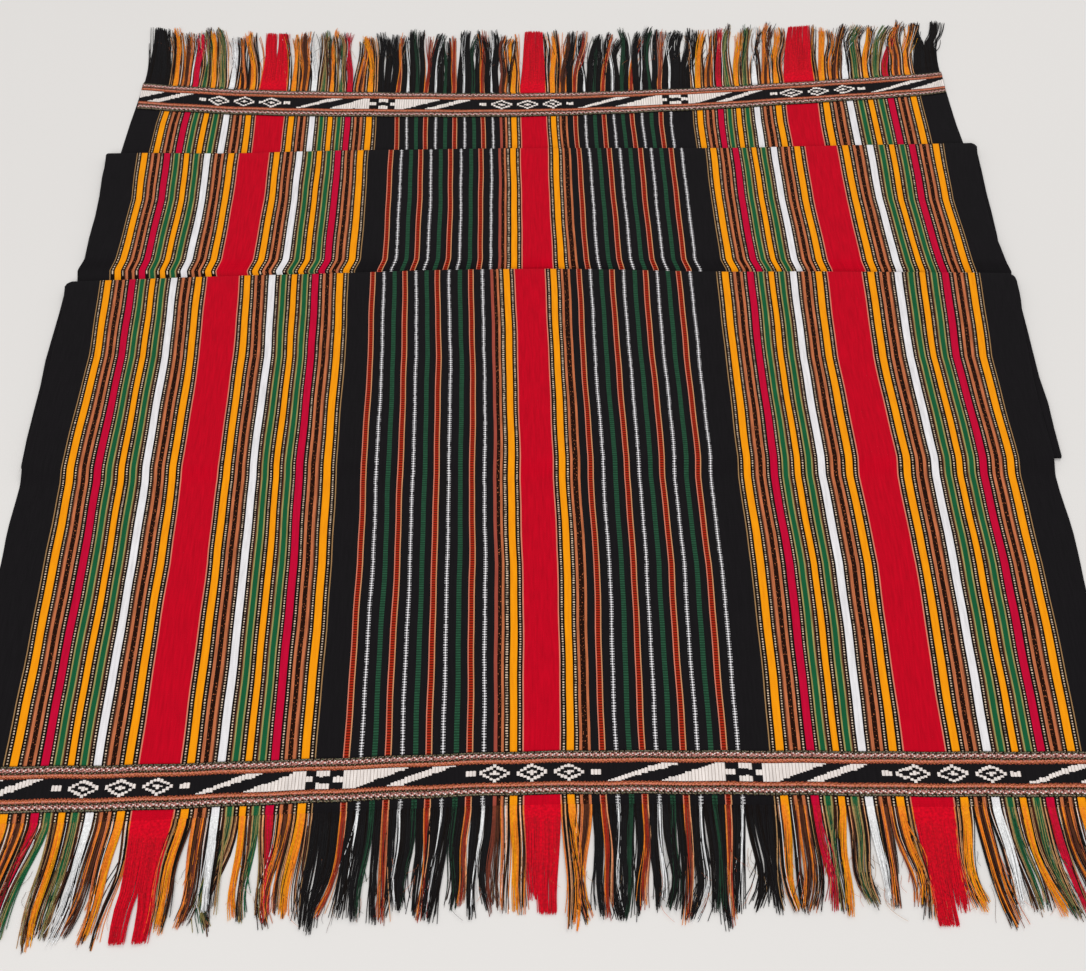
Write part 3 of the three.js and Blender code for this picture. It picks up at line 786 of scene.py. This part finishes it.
def folded_cloth():
    """The striped cloth: a grid with a column for each stripe, laid along its folded section."""
    settings = bpy.context.scene.wrapper_cloth
    half = settings.thickness / MM / 2
    columns = finer_selvedges(stripe_edges())
    warps = [a for _, a, _ in columns] + [CLOTH_WIDTH]
    lines = [middle_line(warp, half) for warp in warps]
    middle = lines[len(lines) // 2]
    along = [0.0]
    for a, b in zip(middle, middle[1:]):
        along.append(along[-1] + math.dist(a, b))
    rows = len(middle) - 1

    bm = bmesh.new()
    bmesh.ops.create_grid(bm, x_segments=len(columns), y_segments=rows, size=0.5)
    flat = bm.loops.layers.uv.new("flat")
    spots = {}
    for vert in bm.verts:
        column = round((vert.co.x + 0.5) * len(columns))
        row = round((vert.co.y + 0.5) * rows)
        spots[vert] = (column, row)
        x, y, z = lines[column][row]
        x += sum(size * math.sin(along[row] / length + warps[column] / width)
                 for size, length, width in STRIPE_WANDER)
        x += selvedge_wander(warps[column], along[row], column)
        z += ridge_height(x, along[row])
        vert.co = placed(x, y, z)
    materials = cloth_materials()
    slots = {kind: i for i, kind in enumerate(materials)}
    for face in bm.faces:
        left = min(spots[v][0] for v in face.verts)
        face.material_index = slots[columns[left][0]]
        face.smooth = True
        for loop in face.loops:
            column, row = spots[loop.vert]
            loop[flat].uv = (warps[column] * MM, along[row] * MM)
    mesh = bpy.data.meshes.new("wrapper_cloth_woven")
    bm.to_mesh(mesh)
    bm.free()
    made = new_object("wrapper_cloth_woven", mesh, materials.values())
    solid = made.modifiers.new("cloth_thickness", "SOLIDIFY")
    solid.thickness = settings.thickness
    solid.offset = 0
    return made, along[-1]


def inside(shape, x, y):
    """Whether a point lies in a shape with straight sides."""
    found = False
    for (ax, ay), (bx, by) in zip(shape, shape[1:] + shape[:1]):
        if (ay > y) != (by > y) and x < ax + (y - ay) / (by - ay) * (bx - ax):
            found = not found
    return found


def pattern_place(x, band):
    """Where a point of the band lies in the even repeat, from half a repeat before its block."""
    places = band["places"]
    i = 0
    while i < len(places) - 2 and x > places[i + 1]:
        i += 1
    t = (x - places[i]) / (places[i + 1] - places[i])
    own = mix(PATTERN_STEPS[i], PATTERN_STEPS[i + 1], t)
    return (own + PATTERN_REPEAT / 2) % PATTERN_REPEAT - PATTERN_REPEAT / 2


def field_is_white(x, height, band):
    """The charted field: bars, blocks and dots, with stepped lozenges between the dots."""
    own = pattern_place(x, band)
    if any(inside(shape, own, height) for shape in FIELD_SHAPES):
        return True
    off = own % PATTERN_REPEAT - PATTERN_REPEAT / 2
    for k in range(LOZENGES["count"]):
        middle = (k - (LOZENGES["count"] - 1) / 2) * LOZENGES["spacing"]
        ribs = abs(round((off - middle) / LOZENGES["rib"]))
        if ribs <= LOZENGES["ribs"]:
            chart, level = LOZENGE_CHART[ribs], abs(height - 0.5)
            if chart["inner"] <= level < chart["inner"] + chart["thick"] or level < chart["dot"]:
                return True
    return False


def band_rows():
    """Rows of a band over its width: where each starts, how high it is and its chart."""
    width = sum(w for w, _, _ in BORDER_ROWS)
    parts, heights, charts = [0.0], [BAND_EDGE], []

    def border(rows):
        for w, height, chart in rows:
            parts.append(parts[-1] + w / width * FIELD_START)
            heights.append(height)
            charts.append(chart)

    border(BORDER_ROWS)
    for k in range(FIELD_ROWS):
        parts.append(FIELD_START + (k + 1) / FIELD_ROWS * (1 - 2 * FIELD_START))
        heights.append(FIELD_HEIGHT)
        charts.append((k + 0.5) / FIELD_ROWS)
    border(reversed(BORDER_ROWS))
    heights[-1] = BAND_EDGE
    return parts, heights, charts


def woven_band(end):
    """A band: raised braided borders with a ribbed black and white field between them."""
    band = BANDS[end]
    rng = random.Random(band["seed"])
    ribs = round(CLOTH_WIDTH / RIB_PITCH)
    steps = ribs * len(RIB_STEPS)
    warps = [CLOTH_WIDTH * (rib + part) / ribs for rib in range(ribs) for part in RIB_STEPS]
    warps.append(CLOTH_WIDTH)
    parts, heights, charts = band_rows()
    rows = len(parts) - 1
    lag = [rng.uniform(-FIELD_LAG, FIELD_LAG) for _ in range(ribs + 1)]
    # Now and then the braid slips by a step, so that its zigzag isn't quite regular.
    slips = [0]
    for _ in range(ribs):
        slips.append(slips[-1] + rng.choice((0, 0, 0, 0, 1, -1)))

    bm = bmesh.new()
    bmesh.ops.create_grid(bm, x_segments=steps, y_segments=rows, size=0.5)
    flat = bm.loops.layers.uv.new("flat")
    base = bpy.context.scene.wrapper_cloth.thickness / MM + BAND_BASE
    spots = {}
    for vert in bm.verts:
        step = round((vert.co.x + 0.5) * steps)
        row = round((vert.co.y + 0.5) * rows)
        spots[vert] = (step, row)
        warp = warps[step]
        x = row_at(band["row"], warp)[0] + mix(-BAND_OVERHANG, BAND_OVERHANG, warp / CLOTH_WIDTH)
        y = mix(at_warp(band["low"], warp), at_warp(band["high"], warp), parts[row])
        inner = FIELD_START * 0.98 < parts[row] < 1 - FIELD_START * 0.98
        rib = RIB_HEIGHTS[step % len(RIB_STEPS)] * (1.0 if inner else BORDER_RIB_SHARE)
        wobble = 0.22 * math.sin(warp * 1.9 + row * 1.7) + 0.3 * math.sin(warp / 13)
        vert.co = placed(x, y + wobble, base + heights[row] * BAND_RELIEF + rib)
    kinds = {kind: plain_warp("wrapped_weft_" + kind, kind, 0.18) for kind in (
        "black", "sage", "olive", "pink", "mauve", "ivory", "stone", "umber", "brick", "rust",
        "salmon", "seam")}
    slots = {kind: i for i, kind in enumerate(kinds)}
    for face in bm.faces:
        step = min(spots[v][0] for v in face.verts)
        row = min(spots[v][1] for v in face.verts)
        rib, gap = divmod(step, len(RIB_STEPS))
        chart = charts[row]
        if isinstance(chart, tuple):
            kind = chart[(step + slips[rib]) % len(chart)]
        else:
            x = row_at(band["row"], (rib + RIB_STEPS[1]) * CLOTH_WIDTH / ribs)[0]
            # Painted shade: where the field is white, the groove between two ribs takes the darker rib-line
            # colour.
            pale = "seam" if gap == len(RIB_STEPS) - 1 else "ivory"
            kind = pale if field_is_white(x, chart + lag[rib], band) else "black"
        face.material_index = slots[kind]
        face.smooth = True
        for loop in face.loops:
            at = spots[loop.vert]
            loop[flat].uv = (warps[at[0]] * MM, parts[at[1]] * BAND_WIDTH * MM)
    mesh = bpy.data.meshes.new(end + "_band_braided")
    bm.to_mesh(mesh)
    bm.free()
    made = new_object(end + "_band_braided", mesh, kinds.values())
    solid = made.modifiers.new("band_thickness", "SOLIDIFY")
    solid.thickness = BAND_THICKNESS * MM
    solid.offset = -1
    return made


def lock_plan(rng):
    """Groups the warp into locks: a broad stripe stays by itself, thin ones go together."""
    locks, bundle = [], []
    left_corner, right_corner = CORNER_BREADTHS
    for kind, a, b in stripe_edges():
        corner = kind == "black" and (b < left_corner or a > CLOTH_WIDTH - right_corner)
        solid = kind == "red" or corner
        if solid and locks and not bundle and locks[-1][-1][0] == kind:
            locks[-1].append((kind, a, b))
            continue
        broad = solid or (kind in ("gold", "crimson", "white", "green") and b - a > BROAD_STRIPE)
        if bundle and (broad or b - bundle[0][1] > rng.uniform(*BUNDLE_WIDTHS)):
            locks.append(bundle)
            bundle = []
        if broad:
            locks.append([(kind, a, b)])
        else:
            bundle.append((kind, a, b))
    return locks + [bundle] if bundle else locks


def breadth(locks):
    return locks[-1][-1][2] - locks[0][0][1]


def hank_plan(rng, widths):
    """Gathers the locks into hanks; red tassels and black corners stay by themselves."""
    hanks, hank, goal = [], [], rng.uniform(*widths)
    for lock in lock_plan(rng):
        alone = breadth([lock]) > TASSEL_BREADTH
        if hank and (alone or breadth(hank + [lock]) > goal):
            hanks.append(hank)
            hank, goal = [], rng.uniform(*widths)
        hank.append(lock)
        if alone:
            hanks.append(hank)
            hank = []
    return hanks + [hank] if hank else hanks


def lay_yarn(curve, slot, points, size):
    """Adds one yarn to a curve, thinner towards its tip."""
    spline = curve.splines.new("POLY")
    spline.points.add(len(points) - 1)
    spline.material_index = slot
    spline.use_smooth = True
    for k, (point, (x, y, z)) in enumerate(zip(spline.points, points)):
        point.co = (*placed(x, y, z), 1.0)
        point.radius = size * (1 - YARN_TAPER * (k / (len(points) - 1)) ** 3)


def tassel_way(rng, end, hank, axis, reach, lean):
    """How a red tassel or a black corner lies: evenly, some of them forked or cut aslant."""
    corner = hank[0][0][0] == "black"
    tails = TASSEL_TAILS[end] if not corner and axis < LEFT_TASSEL_END else 0.0
    if end == "far" and axis > RIGHT_CORNER_START:
        tails = CORNER_TAILS
    # The middle tassel of the near end is shorter on its left side, the right one on its right.
    aslant = end == "near" and LEFT_TASSEL_END <= axis <= RIGHT_CORNER_START
    return {"axis": axis, "drift": lean * TASSEL_LEAN + rng.uniform(*TASSEL_STRAY),
            "bend": rng.uniform(*TASSEL_STRAY), "sway": 0.6, "reach": reach,
            "squeeze": CORNER_SQUEEZE if corner else rng.uniform(*TASSEL_SQUEEZE),
            "tails": tails, "lift": 0.8, "even": CORNER_EVENNESS if corner else 1.0, "ease": 1.3,
            "notch": math.copysign(1, axis - TASSELS_PART) if aslant else 0}


def hank_way(rng, end, hank):
    """How one hank lies: its axis, drift, bends, length, how far it narrows and where it parts."""
    habit = HANKS[end]
    axis = (hank[0][0][1] + hank[-1][-1][2]) / 2
    reach = next(zone for zone in FRINGE_LENGTHS if axis <= zone["until"])[end]
    across, fan = axis / CLOTH_WIDTH * 2 - 1, habit["fan"]
    lean = across ** fan["power"] * fan["lean"] + fan["shift"]
    if breadth(hank) > TASSEL_BREADTH:
        return tassel_way(rng, end, hank, axis, reach, lean)
    return {"axis": axis, "drift": lean + rng.gauss(0, habit["drift"]),
            "bend": rng.gauss(0, habit["bend"]), "sway": rng.gauss(0, habit["sway"]),
            "reach": reach * rng.uniform(0.9, 1.05), "squeeze": rng.uniform(*habit["squeeze"]),
            "tails": 0.0, "lift": rng.uniform(0, 1.6), "even": 0.0, "ease": habit["ease"], "notch": 0}


def lock_way(rng, end, stripes, way):
    """How one lock lies within its hank; the locks of an even hank lie all alike."""
    lock = {"middle": (stripes[0][1] + stripes[-1][2]) / 2, "squeeze": rng.uniform(0.0, 0.4),
            "reach": rng.uniform(0.93, 1.0), "cross": rng.gauss(0, HANKS[end]["cross"]),
            "lift": rng.uniform(0.4, 1.4)}
    if way["even"]:
        lock.update(squeeze=0.0, reach=1.0, cross=0.0)
    return lock


def yarn_length(rng, warp, way, lock):
    """How far one yarn reaches from the cloth's end."""
    shortest, longest = (
        mix(loose, even, way["even"]) for loose, even in zip(YARN_CUTS["loose"], YARN_CUTS["even"]))
    length = way["reach"] * lock["reach"] * rng.uniform(shortest, longest)
    if rng.random() < BROKEN_SHARE * (1 - way["even"]):
        length *= rng.uniform(*YARN_CUTS["broken"])
    if way["notch"] * (warp - way["axis"]) > NOTCH_START:
        length *= rng.uniform(*YARN_CUTS["notched"])
    return length


def yarn_points(rng, end, warp, way, lock):
    """One yarn's course: straight out of the weave, then with its lock and its hank."""
    out = -1 if end == "near" else 1
    x0, y0 = row_at(end + "_end", warp)
    heading = HEADINGS[end]
    length = yarn_length(rng, warp, way, lock)
    stray, phase, tier = rng.gauss(0, YARN_STRAY["held"]), rng.uniform(-0.25, 0.25), rng.choice(YARN_TIERS)
    # Some yarns stay where the weave let them go and fill the gaps between the hanks.
    held = 1.0
    if rng.random() < HANKS[end]["loose"] * (1 - way["even"]):
        held, stray = rng.uniform(*LOOSE_HOLD), rng.gauss(0, YARN_STRAY["loose"])
    points = []
    for n in range(YARN_POINTS):
        t = n / (YARN_POINTS - 1)
        free = max(length * t - heading, 0) / (length - heading)
        gather = held * free ** way["ease"]
        x = x0 - (lock["middle"] - way["axis"]) * way["squeeze"] * gather
        x -= (warp - lock["middle"]) * max(way["squeeze"], lock["squeeze"]) * gather
        x += way["drift"] * free ** 1.8 + way["bend"] * math.sin(math.pi * free) * free
        x += way["sway"] * math.sin(2 * math.pi * free) * free + stray * free * free
        x += lock["cross"] * math.sin(2.6 * free + phase) * free ** 1.3
        x += way["tails"] * math.copysign(1, warp - way["axis"]) * smooth_step(free * 3.5 - 1.9)
        y = y0 + out * (length * t - 1.5 * (1 - t))
        z = mix(1.0, YARN_RADIUS + way["lift"] * lock["lift"] + tier, smooth_step(free * 4))
        points.append((x, y, z))
    return points


def stray_hair(rng, end):
    """A fine hair that has left its lock and curls away beside the tips."""
    out = -1 if end == "near" else 1
    x, y = row_at(end + "_end", rng.uniform(10, CLOTH_WIDTH - 10))
    y += out * rng.uniform(*STRAY_HAIRS["start"])
    turn = rng.uniform(-STRAY_HAIRS["turn"], STRAY_HAIRS["turn"])
    length = rng.uniform(*STRAY_HAIRS["length"])
    points = []
    for n in range(YARN_POINTS):
        t = n / (YARN_POINTS - 1)
        side = turn * length * 0.5 * t * t + 1.5 * math.sin(5 * t + turn * 4)
        points.append((x + side, y + out * length * t * (1 - 0.3 * abs(turn) * t), 1.4 + 1.5 * t * (1 - t)))
    return points


def ladder_knot(rng, warp):
    """A small zigzag where the yarns of a ladder stripe leave the weave of the near end."""
    x0, y0 = row_at("near_end", warp)
    points = []
    for n in range(LADDER_KNOTS["points"]):
        side = LADDER_KNOTS["breadth"] * (-1) ** n * rng.uniform(0.7, 1.2)
        y = y0 + LADDER_KNOTS["start"] - LADDER_KNOTS["step"] * n + rng.uniform(-0.3, 0.3)
        points.append((x0 + side, y, LADDER_KNOTS["height"]))
    return points


def yarn_section(radius):
    """The outline of a yarn: three-sided, which is round enough at half a millimetre, and light."""
    section = bpy.data.curves.new("yarn_section", "CURVE")
    outline = section.splines.new("POLY")
    outline.points.add(2)
    outline.use_cyclic_u = True
    for k, point in enumerate(outline.points):
        angle = math.pi * (0.5 + 2 * k / 3)
        point.co = (radius * 1.15 * math.cos(angle), radius * 1.15 * math.sin(angle), 0, 1)
    holder = bpy.data.objects.new("yarn_section", section)
    bpy.context.collection.objects.link(holder)
    return holder


def yarn_curve(name, section):
    """An empty curve for yarns of that section, with a material for each dye."""
    curve = bpy.data.curves.new(name, "CURVE")
    curve.dimensions = "3D"
    curve.bevel_mode = "OBJECT"
    curve.bevel_object = section
    curve.use_fill_caps = True
    for kind in YARN_DYES:
        curve.materials.append(loose_yarn("cut_cotton_ends_" + kind, kind))
    return curve


def mesh_of_curve(curve, section, name):
    """Turns the yarns into one mesh object, and clears away the curve and its section."""
    holder = bpy.data.objects.new(name, curve)
    bpy.context.collection.objects.link(holder)
    bpy.context.view_layer.update()
    depsgraph = bpy.context.evaluated_depsgraph_get()
    mesh = bpy.data.meshes.new_from_object(holder.evaluated_get(depsgraph), depsgraph=depsgraph)
    for part in (holder, section):
        data = part.data
        bpy.data.objects.remove(part)
        bpy.data.curves.remove(data)
    mesh.name = name
    return new_object(name, mesh, ())


def fringe_piece(end):
    """Loose warp ends lying on the floor, gathered in uneven locks that follow the stripes."""
    rng = random.Random(HANKS[end]["seed"])
    slots = {kind: i for i, kind in enumerate(YARN_DYES)}
    section = yarn_section(bpy.context.scene.wrapper_cloth.yarn_radius)
    curve = yarn_curve(end + "_fringe_yarns", section)
    for hank in hank_plan(rng, HANKS[end]["widths"]):
        way = hank_way(rng, end, hank)
        for stripes in hank:
            lock = lock_way(rng, end, stripes, way)
            for kind, a, b in stripes:
                count = max(1, round((b - a) * HANKS[end]["dense"]))
                for k in range(count):
                    warp = mix(a, b, (k + rng.uniform(0.2, 0.8)) / count)
                    dye_name = rng.choice(YARN_KINDS[kind])
                    lay_yarn(curve, slots[dye_name], yarn_points(rng, end, warp, way, lock), 1.0)
    for _ in range(STRAY_HAIRS["count"]):
        dye_name = rng.choice(STRAY_HAIRS["dyes"])
        lay_yarn(curve, slots[dye_name], stray_hair(rng, end), STRAY_HAIRS["size"])
    for kind, a, b in stripe_edges() if end == "near" else ():
        if kind in LADDER_KNOTS["dyes"]:
            slot = slots[LADDER_KNOTS["dyes"][kind]]
            lay_yarn(curve, slot, ladder_knot(rng, (a + b) / 2), LADDER_KNOTS["size"])
    return mesh_of_curve(curve, section, end + "_fringe_locks")


def photo_camera():
    """A camera that sees the cloth as the photo does."""
    camera = bpy.data.objects.new("camera", bpy.data.cameras.new("camera"))
    camera.data.lens = CAMERA["lens"]
    camera.data.sensor_width = CAMERA["sensor"]
    camera.location = placed(0, CAMERA["foot"], CAMERA["height"])
    camera.rotation_euler = (math.radians(CAMERA["tilt"]), 0, 0)
    bpy.context.collection.objects.link(camera)
    return camera


def pale_floor():
    """The pale floor that the cloth lies on."""
    bm = bmesh.new()
    bmesh.ops.create_grid(bm, x_segments=1, y_segments=1, size=FLOOR_REACH)
    mesh = bpy.data.meshes.new("studio_floor")
    bm.to_mesh(mesh)
    bm.free()
    mesh.transform(Matrix.Translation((0, 0, -FLOOR_DROP * MM)))
    return new_object("studio_floor", mesh, (matte_floor("matte_paper_floor"),))


def soft_lamp(lamp):
    """A broad lamp that faces the middle of the cloth."""
    made = bpy.data.objects.new(lamp["name"], bpy.data.lights.new(lamp["name"], "AREA"))
    made.data.size = lamp["size"]
    made.data.energy = lamp["power"]
    made.location = lamp["place"]
    made.rotation_euler = (-Vector(lamp["place"])).to_track_quat("-Z", "Y").to_euler()
    bpy.context.collection.objects.link(made)


class WRAPPER_OT_stage(bpy.types.Operator):
    """Adds the pale floor, soft studio light and the camera"""

    bl_idname = "wrapper.stage"
    bl_label = "Floor, light and camera"

    def execute(self, context):
        context.scene.camera = photo_camera()
        pale_floor()
        world = bpy.data.worlds.new("studio")
        world.use_nodes = True
        sky = world.node_tree.nodes["Background"]
        sky.inputs["Color"].default_value = (1.0, 1.0, 1.0, 1.0)
        sky.inputs["Strength"].default_value = SKY_STRENGTH
        context.scene.world = world
        for lamp in LAMPS:
            soft_lamp(lamp)
        context.scene.view_settings.view_transform = "Standard"
        return {"FINISHED"}


class WRAPPER_OT_cloth(bpy.types.Operator):
    """Weaves and folds the striped cloth"""

    bl_idname = "wrapper.cloth"
    bl_label = "Folded striped cloth"

    def execute(self, context):
        cloth, length = folded_cloth()
        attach(cloth, "root")
        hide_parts("wrapper_cloth")
        return {"FINISHED"}


class WRAPPER_OT_bands(bpy.types.Operator):
    """Adds the braided and patterned band at each end"""

    bl_idname = "wrapper.bands"
    bl_label = "Patterned bands"

    def execute(self, context):
        for end in BANDS:
            band = woven_band(end)
            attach(band, "root")
            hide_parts(end + "_band")
        return {"FINISHED"}


class WRAPPER_OT_fringes(bpy.types.Operator):
    """Lays out the loose warp ends at each end"""

    bl_idname = "wrapper.fringes"
    bl_label = "Fringes"

    def execute(self, context):
        for end in HANKS:
            fringe = fringe_piece(end)
            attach(fringe, "root")
            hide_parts(end + "_fringe")
        return {"FINISHED"}


class WRAPPER_PT_pieces(bpy.types.Panel):
    """Lists the wrapper's pieces and settings"""

    bl_label = "Striped Wrapper"
    bl_idname = "WRAPPER_PT_pieces"
    bl_space_type = "VIEW_3D"
    bl_region_type = "UI"
    bl_category = "Wrapper"

    def draw(self, context):
        for name in WrapperCloth.__annotations__:
            self.layout.prop(context.scene.wrapper_cloth, name)
        for name in WrapperDyes.__annotations__:
            self.layout.prop(context.scene.wrapper_dyes, name)
        for operator in OPERATORS:
            self.layout.operator(operator.bl_idname)


OPERATORS = (WRAPPER_OT_stage, WRAPPER_OT_cloth, WRAPPER_OT_bands, WRAPPER_OT_fringes)
CLASSES = (WrapperCloth, WrapperDyes, *OPERATORS, WRAPPER_PT_pieces)


def register():
    for cls in CLASSES:
        bpy.utils.register_class(cls)
    bpy.types.Scene.wrapper_cloth = bpy.props.PointerProperty(type=WrapperCloth)
    bpy.types.Scene.wrapper_dyes = bpy.props.PointerProperty(type=WrapperDyes)


def unregister():
    del bpy.types.Scene.wrapper_dyes
    del bpy.types.Scene.wrapper_cloth
    for cls in reversed(CLASSES):
        bpy.utils.unregister_class(cls)


def main():
    register()
    bpy.ops.wrapper.stage()
    bpy.ops.wrapper.cloth()
    bpy.ops.wrapper.bands()
    bpy.ops.wrapper.fringes()


if __name__ == "__main__":
    main()
